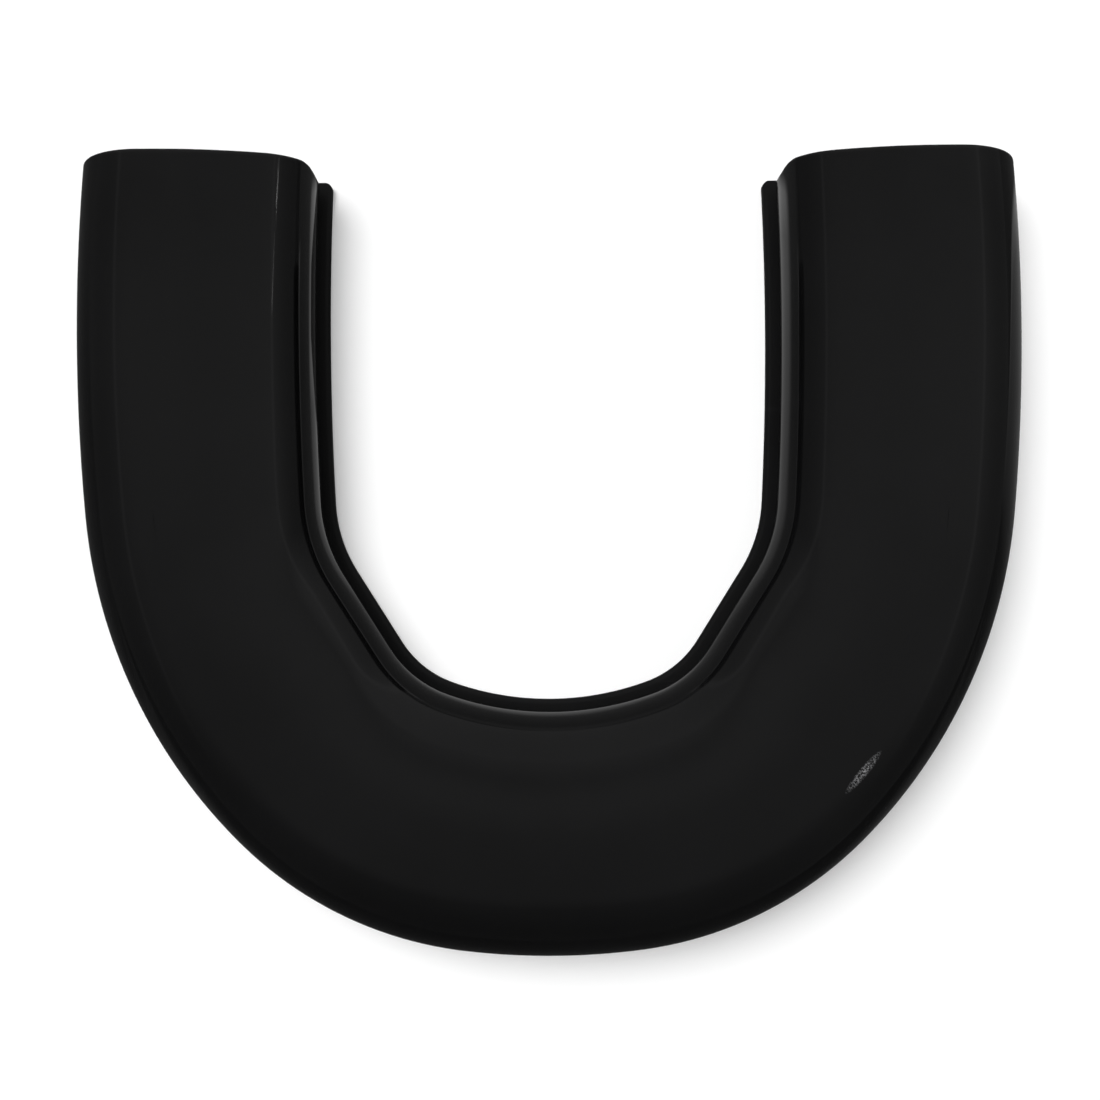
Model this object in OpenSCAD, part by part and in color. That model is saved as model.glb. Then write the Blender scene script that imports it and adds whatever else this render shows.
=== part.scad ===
// Headless tambourine: a horseshoe-shaped housing of two moulded pieces, with pairs of jingles on
// steel pins inside it. It lies on its back plate: +Z is its face, +Y the open side of the horseshoe.
// The origin is at the middle of its bounding box, on the underside of the back plate.

/* [Overall size] */
// Widest point of the horseshoe, across both arms
overall_w = 254; // [250:1:260]
// Length from the bottom of the bend to the ends of the arms
overall_d = 213; // [208:1:217]
// Thickness of the closed housing
overall_h = 34; // [33:0.5:38]

/* [Outer outline] */
// Radius of the slight outward bow of the arms
arm_bow_r = 540; // [480:10:640]
// How far the bow turns below the widest point, in degrees
arm_bow_turn = 5; // [4:0.5:6]
// Radius of the flank below each arm
flank_r = 142; // [138:1:146]
// How far the flank turns, in degrees
flank_turn = 40; // [38:0.5:42]
// Radius of the hip below each flank
hip_r = 103; // [100:1:106]
// How far the hip turns, in degrees
hip_turn = 38; // [36:0.5:40]

/* [Inner outline] */
// Width of an arm, from the outside to the inner edge of the back plate
arm_w = 65.9; // [65.2:0.1:67]
// Width of the band at the bottom of the bend
base_w = 67.8; // [66.8:0.1:70]
// Radius of the slight bow of the inner edge along the arms
throat_bow_r = 900; // [700:20:1200]
// How far the inner bow turns below its widest point, in degrees
throat_bow_turn = 3; // [2.5:0.5:3.5]
// Radius of the inner shoulder
shoulder_r = 39; // [36:1:42]
// How far the shoulder turns, in degrees
shoulder_turn = 29; // [27:0.5:31]
// Radius of the inner heel
heel_r = 28; // [25:1:31]
// How far the heel turns, in degrees
heel_turn = 38; // [36:0.5:40]
// Radius of the shallow curve across the bottom of the opening
cradle_r = 80; // [76:1:84]

/* [Front cover] */
// Wall thickness of the moulded cover
wall = 2.5; // [2:0.1:3]
// Radius of the rolled outer edge
outer_roll_r = 18.5; // [16:0.5:19]
// Radius of the rolled inner edge
inner_roll_r = 16; // [14:0.5:17]
// Radius of the crown that leads down to the rolled inner edge
crown_r = 110; // [100:1:112]
// How far the crown turns, in degrees
crown_turn = 15; // [13:0.5:15]
// Rounding of the cover's inner lip
lip_edge_r = 0.8; // [0.4:0.1:0.9]
// Rounding of the cover's edge around each arm end
end_edge_r = 0.6; // [0.3:0.1:0.7]
// Plan radius of the cover's inner corner at each arm end
cover_corner_r = 4; // [2.5:0.5:5]
// Height of the open sound slot above the back plate
slot_h = 8; // [6:0.5:9]
// How far the end walls stand back from the slot's lip
slot_relief = 4; // [3.5:0.5:6]

/* [Back plate] */
// Thickness of the back plate
plate_t = 3; // [2.6:0.1:4]
// How far the back plate shows past the cover's inner lip
plate_reveal = 2.4; // [1.2:0.1:2.8]
// Rounding of the back plate's lower outer edge
plate_edge_r = 1; // [0.5:0.1:1.5]
// Rounding of its upper outer edge, which marks the seam below the cover
seam_r = 0.4; // [0.2:0.1:0.6]
// Plan radius of the back plate's inner corners
plate_corner_r = 2.5; // [1.5:0.5:4]
// Height of the rim that locates the cover
rim_h = 2.5; // [1.5:0.1:4]
// Thickness of the locating rim
rim_t = 1.6; // [1.2:0.1:2.5]
// Clearance between the locating rim and the cover's walls
rim_fit = 0.2; // [0.15:0.01:0.3]

/* [Jingles] */
// Diameter of a jingle
jingle_d = 48; // [42:1:49]
// Sheet thickness of a jingle
jingle_t = 0.7; // [0.5:0.05:0.9]
// Diameter of the hole in a jingle
jingle_hole_d = 4.2; // [3.8:0.1:5]
// Radius of the flat top of a jingle's dome
dome_top_r = 5; // [4.5:0.5:6]
// Radius of the foot of a jingle's dome
dome_foot_r = 10; // [9:0.5:12]
// Height of a jingle's dome
dome_h = 2.6; // [2:0.1:3]
// Rise of a jingle's flange from the dome out to the rim
flange_rise = 1.3; // [1:0.1:1.8]
// Free travel of each jingle along its pin
jingle_travel = 2; // [1:0.1:2.4]
// Gap between resting jingles, and between a jingle and its seat
rest_gap = 0.2; // [0.15:0.01:0.3]

/* [Pins and screws] */
// Diameter of a jingle pin
pin_d = 3; // [2.6:0.1:3.3]
// Depth of each pin end in its boss
pin_seat = 4; // [3:0.5:4.5]
// Radial clearance of pins and screws in their bores
bore_fit = 0.03; // [0.02:0.01:0.06]
// Diameter of a boss that holds a pin
pin_boss_d = 8; // [7:0.5:9]
// Height of the lower pin boss above the back plate
pin_boss_h = 2.2; // [2:0.1:3]
// Diameter of a cover screw
screw_d = 3.5; // [3:0.1:4]
// Length of a cover screw
screw_l = 16; // [12:1:20]
// Diameter of a screw head
screw_head_d = 6.8; // [6.4:0.1:7.2]
// Diameter of a screw boss
screw_boss_d = 7.5; // [7:0.5:8.5]
// Sideways offset of the two end screws of an arm from its middle
end_screw_offset = 13; // [11:0.5:14]
// Distance of the end screws from the end of the arm
end_screw_inset = 8.5; // [8:0.5:10]

/* [Hidden] */
$fn = 96;
pairs = 7;
side_pairs = (pairs - 1) / 2;
// Length by which solids overlap or a cut runs clear
over = 0.5;
// Sections along one half of the horseshoe: from arm end to widest point, and round the bend
arm_steps = 5;
bend_steps = 28;
// Chords in the outer roll, the crown, the inner roll and the small roundings
outer_roll_steps = 8;
crown_steps = 3;
inner_roll_steps = 7;
edge_steps = 2;
plate_edge_steps = 5;
dome_steps = 8;

// Both outlines are chains of tangent arcs that turn from straight down to straight across
function arc_drop(r, a0, a1) = r * (sin(a1) - sin(a0));
function arc_in(r, a0, a1) = r * (cos(a0) - cos(a1));

hip_start = arm_bow_turn + flank_turn;
base_start = hip_start + hip_turn;
base_r = (overall_w / 2 - arc_in(arm_bow_r, 0, arm_bow_turn) - arc_in(flank_r, arm_bow_turn, hip_start)
    - arc_in(hip_r, hip_start, base_start)) / cos(base_start);
outer_drop = arc_drop(arm_bow_r, 0, arm_bow_turn) + arc_drop(flank_r, arm_bow_turn, hip_start)
    + arc_drop(hip_r, hip_start, base_start) + arc_drop(base_r, base_start, 90);
widest_y = outer_drop - overall_d / 2;

throat_half = overall_w / 2 - arm_w;
shoulder_end = throat_bow_turn + shoulder_turn;
cradle_start = shoulder_end + heel_turn;
run_l = (throat_half - arc_in(throat_bow_r, 0, throat_bow_turn)
    - arc_in(shoulder_r, throat_bow_turn, shoulder_end) - arc_in(heel_r, shoulder_end, cradle_start)
    - arc_in(cradle_r, cradle_start, 90)) / sin(shoulder_end);
throat_drop = arc_drop(throat_bow_r, 0, throat_bow_turn)
    + arc_drop(shoulder_r, throat_bow_turn, shoulder_end) + run_l * cos(shoulder_end)
    + arc_drop(heel_r, shoulder_end, cradle_start) + arc_drop(cradle_r, cradle_start, 90);
throat_y = throat_drop - overall_d / 2 + base_w;

// Steps of an outline from its widest point to the middle of the bend: an arc is [radius, turn],
// a straight run is [0, length]
outer_path = [[arm_bow_r, arm_bow_turn], [flank_r, flank_turn], [hip_r, hip_turn],
    [base_r, 90 - base_start]];
throat_path = [[throat_bow_r, throat_bow_turn], [shoulder_r, shoulder_turn], [0, run_l],
    [heel_r, heel_turn], [cradle_r, 90 - cradle_start]];

function step_length(step) = step[0] == 0 ? step[1] : step[0] * step[1] * PI / 180;
function path_length(path, i = 0) = i == len(path) ? 0 : step_length(path[i]) + path_length(path, i + 1);

// A pose is [x, y, turn so far]; the outline runs down the right arm and turns to its right
function moved(pose, r, amount) = r == 0
    ? [pose[0] - amount * sin(pose[2]), pose[1] - amount * cos(pose[2]), pose[2]]
    : [pose[0] - arc_in(r, pose[2], pose[2] + amount), pose[1] - arc_drop(r, pose[2], pose[2] + amount),
        pose[2] + amount];
function along(path, pose, d, i = 0) = let (l = step_length(path[i]))
    i == len(path) - 1 || d <= l
        ? moved(pose, path[i][0], path[i][1] * d / l)
        : along(path, moved(pose, path[i][0], path[i][1]), d - l, i + 1);

// The point that lies "u" out from an outline, at height "y" along an arm or in section "i". The
// sections are level with the arm end at i = 0 and square to the outline round the bend.
function outer_at(y, u) =
    let (r = arm_bow_r + u)
        [overall_w / 2 - arm_bow_r + r * cos(asin((y - widest_y) / r)), y];
function throat_at(y, u) =
    let (r = throat_bow_r + u)
        [throat_half - throat_bow_r + r * cos(asin((y - throat_y) / r)), y];
function arm_y(y0, i) = overall_d / 2 + (y0 - overall_d / 2) * i / arm_steps;
function bend_point(path, half, y0, i, u) =
    let (p = along(path, [half, y0, 0], path_length(path) * (i - arm_steps) / bend_steps))
        [p[0] + u * cos(p[2]), p[1] - u * sin(p[2])];
function outer_point(i, u) = i <= arm_steps
    ? outer_at(arm_y(widest_y, i), u)
    : bend_point(outer_path, overall_w / 2, widest_y, i, u);
function throat_point(i, u) = i <= arm_steps
    ? throat_at(arm_y(throat_y, i), u)
    : bend_point(throat_path, throat_half, throat_y, i, u);

// A profile is a list of [is it measured from the throat, u, z]. Sections run down the right arm,
// round the bend and up the left one.
half_steps = arm_steps + bend_steps;
function half_section(profile, i, side) =
    [for (p = profile)
        let (q = p[0] ? throat_point(i, p[1]) : outer_point(i, p[1]))
            [side * q[0], q[1], p[2]]];
function section(profile, i) = i <= half_steps
    ? half_section(profile, i, 1)
    : half_section(profile, 2 * half_steps - i, -1);
function level_section(profile, y, side) =
    [for (p = profile)
        let (q = p[0] ? throat_at(y, p[1]) : outer_at(y, p[1]))
            [side * q[0], q[1], p[2]]];
function sections(profile, from_step = 0) =
    [for (i = [from_step : 2 * half_steps - from_step]) section(profile, i)];

// A closed loft through sections of a ribbon-like profile, whose point k lies across from its
// point n - 1 - k
module loft(sections) {
    n = len(sections[0]);
    last = len(sections) - 1;
    points = [for (s = sections) each s];
    skin = [for (i = [0 : last - 1], k = [0 : n - 1]) let (a = i * n + k, b = i * n + (k + 1) % n)
        each [[a, b + n, b], [a, a + n, b + n]]];
    ends = [for (k = [0 : n / 2 - 2]) let (a = k, b = k + 1, c = n - 2 - k, d = n - 1 - k)
        each [[a, b, d], [d, b, c], [b + last * n, a + last * n, d + last * n],
            [b + last * n, d + last * n, c + last * n]]];
    polyhedron(points, concat(skin, ends));
}

// Points of an arc between two directions, in "steps" chords
function arc(side, u, z, r, a0, a1, steps, first = 0) =
    [for (k = [first : steps]) let (a = a0 + (a1 - a0) * k / steps) [side, u + r * cos(a), z + r * sin(a)]];

lip_z = plate_t + slot_h;
crown_u = plate_reveal + inner_roll_r * (1 - sin(crown_turn)) + crown_r * sin(crown_turn);
crown_z = overall_h - crown_r;
roll_u = crown_u - (crown_r - inner_roll_r) * sin(crown_turn);
roll_z = crown_z + (crown_r - inner_roll_r) * cos(crown_turn);

// Skin of the cover, "inset" below its surface, from the foot of the outer wall to the inner lip
function skin(inset) = concat(
    [[false, -inset, plate_t]],
    arc(false, -outer_roll_r, overall_h - outer_roll_r, outer_roll_r - inset, 0, 90, outer_roll_steps),
    arc(true, crown_u, crown_z, crown_r - inset, 90, 90 + crown_turn, crown_steps),
    arc(true, roll_u, roll_z, inner_roll_r - inset, 90 + crown_turn, 180, inner_roll_steps, 1));
function reversed(list) = [for (k = [len(list) - 1 : -1 : 0]) list[k]];
function lip(inset) = let (r = lip_edge_r - inset / 2) concat(
    arc(true, plate_reveal + inset + r, lip_z + r, r, 180, 270, edge_steps),
    arc(true, plate_reveal + wall - lip_edge_r, lip_z + lip_edge_r, lip_edge_r, 270, 360, edge_steps));
function cover_profile(inset) = concat(skin(inset), lip(inset), reversed(skin(wall)));

// Step "k" of the rounding around an arm end: the outside shrinks as it nears the end
function end_section(k, side) =
    let (a = 90 * k / edge_steps, y = overall_d / 2 - end_edge_r * (1 - sin(a)))
        level_section(cover_profile(end_edge_r * (1 - cos(a))), y, side);

module cover_shell() {
    profile = cover_profile(0);
    loft(concat(
        [for (k = [edge_steps : -1 : 0]) end_section(k, 1)],
        [for (i = [1 : 2 * half_steps - 1]) section(profile, i)],
        [for (k = [0 : edge_steps]) end_section(k, -1)]));
}

// Wall that closes the end of the right arm, down to the plate except behind the sound slot
module end_wall() {
    mid = wall / 2;
    profile = concat(
        skin(mid),
        [[true, plate_reveal + mid, lip_z + wall], [true, plate_reveal + slot_relief, lip_z + wall],
            [true, plate_reveal + slot_relief, plate_t]]);
    outline = section(profile, 0);
    translate([0, overall_d / 2, 0])
        rotate([90, 0, 0])
            linear_extrude(wall)
                polygon([for (p = outline) [p[0], p[2]]]);
}

// What is cut off an inner corner of the right arm, to round it in plan
module corner_cut(u, r) {
    corner = throat_point(0, u);
    translate([corner[0], corner[1], -over])
        linear_extrude(overall_h + 2 * over)
            difference() {
                translate([-r, -r])
                    square(2 * r);
                translate([r, -r])
                    circle(r);
                translate([r, -2 * r])
                    square([r, 4 * r]);
                translate([-r, -2 * r])
                    square([3 * r, r]);
            }
}

// Middle line of the horseshoe: straight along the arms, a half circle round the bend
mid_x = overall_w / 2 - arm_w / 2;
mid_bottom = -overall_d / 2 + base_w / 2;
bend_y = mid_bottom + mid_x;
bend_l = PI / 2 * mid_x;
mid_l = bend_l + overall_d / 2 - wall - bend_y;
pair_pitch = mid_l / (side_pairs + 0.5);
function mid_point(s) = abs(s) < bend_l
    ? let (a = s / bend_l * 90) [mid_x * sin(a), bend_y - mid_x * cos(a)]
    : [sign(s) * mid_x, bend_y + abs(s) - bend_l];

// Places of the jingle pairs, from the end of the left arm to the end of the right one
pair_at = [for (k = [-side_pairs : side_pairs]) mid_point(k * pair_pitch)];
// Screws stand midway between the pairs, and two close each arm end
between_at = [for (k = [-side_pairs : side_pairs - 1]) mid_point((k + 0.5) * pair_pitch)];
end_y = overall_d / 2 - end_screw_inset;
end_at = [for (side = [-1, 1], off = [-1, 1]) [side * (mid_x + off * end_screw_offset), end_y]];
screw_at = concat(between_at, end_at);

// Heights of a pair at rest, from its seat on the lower boss up to the boss in the cover
jingle_h = dome_h + flange_rise + jingle_t;
lower_z = plate_t + pin_boss_h + rest_gap;
upper_z = lower_z + jingle_h + rest_gap;
top_boss_z = upper_z + jingle_h + 2 * jingle_travel + rest_gap;
pin_z = plate_t + pin_boss_h - pin_seat;
pin_l = top_boss_z + pin_seat - pin_z;

// Height inside the cover's skin at "off" outward from the middle line, where bosses end
function skin_mid(off) = let (u = arm_w / 2 + off)
    (u < crown_u ? crown_z + sqrt(pow(crown_r, 2) - pow(crown_u - u, 2)) : overall_h) - wall / 2;
function off_middle(p) = abs(p[1] - end_y) < over ? abs(p[0]) - mid_x : 0;

module cover_bosses() {
    for (p = pair_at)
        translate([p[0], p[1], top_boss_z])
            cylinder(d = pin_boss_d, h = skin_mid(0) - top_boss_z);
    for (p = screw_at)
        translate([p[0], p[1], plate_t])
            cylinder(d = screw_boss_d, h = skin_mid(off_middle(p)) - plate_t);
}

module cover_bores() {
    for (p = pair_at)
        translate([p[0], p[1], top_boss_z - over])
            cylinder(d = pin_d + 2 * bore_fit, h = pin_seat + over);
    for (p = screw_at)
        translate([p[0], p[1], plate_t - over])
            cylinder(d = screw_d + 2 * bore_fit, h = screw_l - plate_t + 2 * over);
}

module front_cover() {
    color([0.03, 0.03, 0.035])
    difference() {
        union() {
            cover_shell();
            end_wall();
            mirror([1, 0, 0])
                end_wall();
            cover_bosses();
        }
        cover_bores();
        corner_cut(plate_reveal, cover_corner_r);
        mirror([1, 0, 0])
            corner_cut(plate_reveal, cover_corner_r);
    }
}

// The plate's section: outer edge rounded above and below, inner edge fully round
module plate_shell() {
    loft(sections(concat(
        arc(false, -seam_r, plate_t - seam_r, seam_r, 0, 90, edge_steps),
        arc(true, plate_t / 2, plate_t / 2, plate_t / 2, 90, 270, plate_edge_steps),
        arc(false, -plate_edge_r, plate_edge_r, plate_edge_r, 270, 360, edge_steps))));
}

// Rim on the plate that sits inside the cover's outer wall and stops short of the end walls
module locating_rim() {
    u = -wall - rim_fit;
    top = plate_t + rim_h;
    loft(sections([[false, u, plate_t - over], [false, u, top], [false, u - rim_t, top],
        [false, u - rim_t, plate_t - over]], 1));
}

boss_flare = 1;
screw_hole_fit = 0.2;
head_sink = 0.2;
head_h = (screw_head_d - screw_d) / 2;

module plate_bosses() {
    for (p = pair_at)
        translate([p[0], p[1], plate_t - over]) {
            cylinder(d = pin_boss_d, h = pin_boss_h + over);
            cylinder(d1 = pin_boss_d + 2 * (boss_flare + over), d2 = pin_boss_d, h = boss_flare + over);
        }
}

module plate_bores() {
    for (p = pair_at)
        translate([p[0], p[1], pin_z])
            cylinder(d = pin_d + 2 * bore_fit, h = pin_seat + over);
    for (p = screw_at)
        translate([p[0], p[1], -over]) {
            cylinder(d = screw_d + 2 * screw_hole_fit, h = plate_t + 2 * over);
            cylinder(d = screw_head_d + 2 * bore_fit, h = over + head_sink);
            translate([0, 0, over + head_sink])
                cylinder(d1 = screw_head_d + 2 * bore_fit, d2 = screw_d + 2 * bore_fit, h = head_h);
        }
}

module back_plate() {
    color([0.04, 0.04, 0.045])
    difference() {
        union() {
            plate_shell();
            locating_rim();
            plate_bosses();
        }
        plate_bores();
        corner_cut(0, plate_corner_r);
        mirror([1, 0, 0])
            corner_cut(0, plate_corner_r);
    }
}

pin_chamfer = 0.4;
module jingle_pin(i) {
    end_gap = bore_fit;
    color([0.75, 0.76, 0.78])
    translate([pair_at[i][0], pair_at[i][1], pin_z + end_gap])
        rotate_extrude()
            polygon([[0, 0], [pin_d / 2 - pin_chamfer, 0], [pin_d / 2, pin_chamfer],
                [pin_d / 2, pin_l - 2 * end_gap - pin_chamfer],
                [pin_d / 2 - pin_chamfer, pin_l - 2 * end_gap], [0, pin_l - 2 * end_gap]]);
}

// Underside of a jingle, dome down: flat top, round shoulder, then a flange that rises to the rim
function dome_rise(t) = dome_h * (1 - cos(180 * t)) / 2;
jingle_curve = concat(
    [[jingle_hole_d / 2, 0]],
    [for (k = [0 : dome_steps]) let (t = k / dome_steps)
        [dome_top_r + (dome_foot_r - dome_top_r) * t, dome_rise(t)]],
    [[jingle_d / 2, dome_h + flange_rise]]);

module jingle() {
    rotate_extrude()
        polygon(concat(jingle_curve, [for (p = reversed(jingle_curve)) [p[0], p[1] + jingle_t]]));
}

module lower_jingle(i) {
    color([0.78, 0.78, 0.8])
    translate([pair_at[i][0], pair_at[i][1], lower_z])
        jingle();
}

module upper_jingle(i) {
    color([0.78, 0.78, 0.8])
    translate([pair_at[i][0], pair_at[i][1], upper_z + jingle_h])
        mirror([0, 0, 1])
            jingle();
}

// Countersunk self-tapping screw, head down, with a cross recess
recess_l = 3.6;
recess_w = 0.9;
recess_h = 1.1;
tip_l = 2.5;
module cover_screw() {
    difference() {
        rotate_extrude()
            polygon([[0, head_sink], [screw_head_d / 2, head_sink], [screw_d / 2, head_sink + head_h],
                [screw_d / 2, screw_l - tip_l], [screw_d / 8, screw_l], [0, screw_l]]);
        for (turn = [0, 90])
            rotate([0, 0, turn])
                translate([-recess_l / 2, -recess_w / 2, head_sink - over])
                    cube([recess_l, recess_w, recess_h + over]);
    }
}

module cover_screws() {
    color([0.12, 0.12, 0.13])
    for (p = screw_at)
        translate([p[0], p[1], 0])
            cover_screw();
}

front_cover();
back_plate();
cover_screws();
for (i = [1 : pairs]) {
    jingle_pin(i - 1);
    lower_jingle(i - 1);
    upper_jingle(i - 1);
}
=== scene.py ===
import bpy
import bmesh
from math import sin, cos, asin, atan2, exp, sqrt, pi, radians, hypot
from mathutils import Matrix, Vector


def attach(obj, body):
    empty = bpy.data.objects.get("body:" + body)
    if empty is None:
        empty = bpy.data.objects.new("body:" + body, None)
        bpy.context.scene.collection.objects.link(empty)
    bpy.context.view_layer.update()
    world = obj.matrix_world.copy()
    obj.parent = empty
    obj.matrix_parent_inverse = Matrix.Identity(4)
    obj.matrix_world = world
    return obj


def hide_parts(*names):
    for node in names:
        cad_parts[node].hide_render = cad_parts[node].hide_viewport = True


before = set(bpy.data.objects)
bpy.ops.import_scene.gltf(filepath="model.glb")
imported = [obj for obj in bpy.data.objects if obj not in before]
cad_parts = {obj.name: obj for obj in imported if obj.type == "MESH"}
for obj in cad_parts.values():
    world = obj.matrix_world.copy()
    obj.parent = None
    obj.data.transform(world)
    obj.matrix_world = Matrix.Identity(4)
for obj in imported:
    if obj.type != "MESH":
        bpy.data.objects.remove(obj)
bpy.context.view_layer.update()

# Headless horseshoe tambourine: glossy moulded cover, satin back plate, pairs of nickel jingles on pins.
# Sizes are in millimetres and are brought to metres where a vertex is placed.
mm = 0.001
print("frame loaded:", len(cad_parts), "nodes")

housing = {
    "width": 254, "depth": 213, "height": 34,
    "armWidth": 65.9, "baseWidth": 67.8,
    # arcs as radius and turn, from the widest point down; (0, 0) marks the straight run
    "outerArcs": [(540, 5), (142, 40), (103, 38)],
    "throatArcs": [(900, 3), (39, 29), (0, 0), (28, 38), (80, 20)],
    "rowsInBend": 76, "rowsInArm": 14, "rowsInRound": 5, "rowsInCorner": 6,
}


def arcDrop(radius, start, end):
    return radius * (sin(radians(end)) - sin(radians(start)))


def arcIn(radius, start, end):
    return radius * (cos(radians(start)) - cos(radians(end)))


def chainOf(arcs, half, depthLeft):
    # closes a chain of tangent arcs so that it ends straight across at the middle of the bend
    turned, inward, drop, gap = 0, 0, 0, None
    for radius, turn in arcs:
        if radius == 0:
            gap = turned
            continue
        inward += arcIn(radius, turned, turned + turn)
        drop += arcDrop(radius, turned, turned + turn)
        turned += turn
    chain = list(arcs)
    if gap is None:
        last = (half - inward) / cos(radians(turned))
        chain.append((last, 90 - turned))
        drop += arcDrop(last, turned, 90)
    else:
        run = (half - inward) / sin(radians(gap))
        chain[chain.index((0, 0))] = (0, run)
        drop += run * cos(radians(gap))
    return {"chain": chain, "half": half, "firstY": drop + depthLeft, "bow": arcs[0][0]}


outer = chainOf(housing["outerArcs"], housing["width"] / 2, -housing["depth"] / 2)
throat = chainOf(housing["throatArcs"], housing["width"] / 2 - housing["armWidth"],
                 -housing["depth"] / 2 + housing["baseWidth"])


def stepLength(step):
    return step[1] if step[0] == 0 else step[0] * radians(step[1])


def alongChain(line, fraction):
    # point and turn at a fraction of the length from the widest point to the middle of the bend
    left = fraction * sum(stepLength(s) for s in line["chain"])
    x, y, turned = line["half"], line["firstY"], 0
    for k, (radius, amount) in enumerate(line["chain"]):
        length = stepLength((radius, amount))
        part = 1 if left > length and k < len(line["chain"]) - 1 else left / length
        if radius == 0:
            x -= amount * part * sin(radians(turned))
            y -= amount * part * cos(radians(turned))
        else:
            x -= arcIn(radius, turned, turned + amount * part)
            y -= arcDrop(radius, turned, turned + amount * part)
            turned += amount * part
        if part < 1 or k == len(line["chain"]) - 1:
            return x, y, turned
        left -= length


def outlinePoint(line, row, out):
    # a row is ("arm", y) or ("bend", fraction); out is the distance outward from the outline
    if row[0] == "arm":
        reach = line["bow"] + out
        angle = asin((row[1] - line["firstY"]) / reach)
        return Vector((line["half"] - line["bow"] + reach * cos(angle), row[1], 0))
    x, y, turned = alongChain(line, row[1])
    return Vector((x + out * cos(radians(turned)), y - out * sin(radians(turned)), 0))


def armRows(endRound, cornerRound, first=0):
    # rows of the right half: close together at the rounded end of the arm, then even
    armEnd, farAway = housing["depth"] / 2, 99
    rows = []
    if endRound:
        for k in range(housing["rowsInRound"] + 1):
            turn = pi / 2 * k / housing["rowsInRound"]
            back = endRound * (1 - cos(turn))
            rows.append({"row": ("arm", armEnd - first - back), "inset": endRound * (1 - sin(turn)),
                         "fromEnd": back})
    else:
        rows.append({"row": ("arm", armEnd - first), "inset": 0, "fromEnd": first})
    if cornerRound:
        start = rows[-1]["fromEnd"]
        for k in range(1, housing["rowsInCorner"] + 1):
            fromEnd = start + (cornerRound + 0.4 - start) * (k / housing["rowsInCorner"]) ** 1.4
            rows.append({"row": ("arm", armEnd - fromEnd), "inset": 0, "fromEnd": fromEnd})
    near = rows[-1]["fromEnd"]
    for k in range(1, housing["rowsInArm"] + 1):
        # the outlines have their widest points at different heights, so each keeps its own level rows
        rows.append({"row": ("level", near, k / housing["rowsInArm"]), "inset": 0, "fromEnd": farAway})
    for k in range(1, housing["rowsInBend"] + 1):
        rows.append({"row": ("bend", k / housing["rowsInBend"]), "inset": 0, "fromEnd": farAway})
    return rows


def rowOf(line, row):
    if row[0] != "level":
        return row
    top = housing["depth"] / 2 - row[1]
    return ("arm", top + (line["firstY"] - top) * row[2])


def placed(rowInfo, column, cornerRound, reveal):
    # a column is (side, out, z) or ("flat", out from the outline, out from the throat, share, z)
    fromEnd = rowInfo["fromEnd"]
    least = -99
    if cornerRound and fromEnd < cornerRound:
        least = reveal + cornerRound - sqrt(cornerRound ** 2 - (cornerRound - fromEnd) ** 2)
    if column[0] == "flat":
        a = outlinePoint(outer, rowOf(outer, rowInfo["row"]), column[1])
        b = outlinePoint(throat, rowOf(throat, rowInfo["row"]), column[2])
        point = a.lerp(b, column[3])
    elif column[0] == "outer":
        point = outlinePoint(outer, rowOf(outer, rowInfo["row"]), column[1])
    else:
        point = outlinePoint(throat, rowOf(throat, rowInfo["row"]), max(column[1], least))
    point.z = column[-1]
    return point * mm


def arc(side, out, z, radius, start, end, steps, first=0):
    found = []
    for k in range(first, steps + 1):
        a = radians(start + (end - start) * k / steps)
        found.append((side, out + radius * cos(a), z + radius * sin(a)))
    return found


def loft(rows, profileOf, cornerRound=0, reveal=0, closed=False, capped=True):
    # a grid whose vertices are moved on to the sections, then mirrored to the other half
    columns = len(profileOf(0))
    bm = bmesh.new()
    bmesh.ops.create_grid(bm, x_segments=len(rows) - 1, y_segments=columns - 1, size=0.5)
    ends = []
    for v in bm.verts:
        i = round((v.co.x + 0.5) * (len(rows) - 1))
        j = round((v.co.y + 0.5) * (columns - 1))
        v.co = placed(rows[i], profileOf(rows[i]["inset"])[j], cornerRound, reveal)
        if i == 0:
            ends.append((j, v))
    ends.sort(key=lambda pair: pair[0])
    if capped:
        loop = [v for j, v in ends]
        if closed:
            loop = loop[:-1]
        bm.faces.new(loop)
    bmesh.ops.mirror(bm, geom=bm.verts[:] + bm.edges[:] + bm.faces[:], axis="X", merge_dist=1e-6)
    bmesh.ops.remove_doubles(bm, verts=bm.verts, dist=2e-6)
    bmesh.ops.dissolve_degenerate(bm, dist=1e-6, edges=bm.edges)
    bmesh.ops.recalc_face_normals(bm, faces=bm.faces)
    return bm


def fillMesh(mesh, bm, smoothAngle=35):
    # moves a bmesh into a mesh and shades it smooth, with sharp edges above the angle
    bm.to_mesh(mesh)
    bm.free()
    shadeMesh(mesh, smoothAngle)


def shadeMesh(mesh, smoothAngle):
    mesh.shade_smooth()
    mesh.set_sharp_from_angle(angle=radians(smoothAngle))


def objectFrom(bm, name, smoothAngle=35):
    mesh = bpy.data.meshes.new(name)
    fillMesh(mesh, bm, smoothAngle)
    piece = bpy.data.objects.new(name, mesh)
    bpy.context.scene.collection.objects.link(piece)
    return piece


def applied(piece, smoothAngle=35):
    # the mesh that the piece's modifiers make takes the place of its own
    bpy.context.view_layer.update()
    shaped = piece.evaluated_get(bpy.context.evaluated_depsgraph_get())
    mesh = bpy.data.meshes.new_from_object(shaped)
    old = piece.data
    piece.modifiers.clear()
    piece.data = mesh
    bpy.data.meshes.remove(old)
    shadeMesh(mesh, smoothAngle)
    return piece


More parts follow.
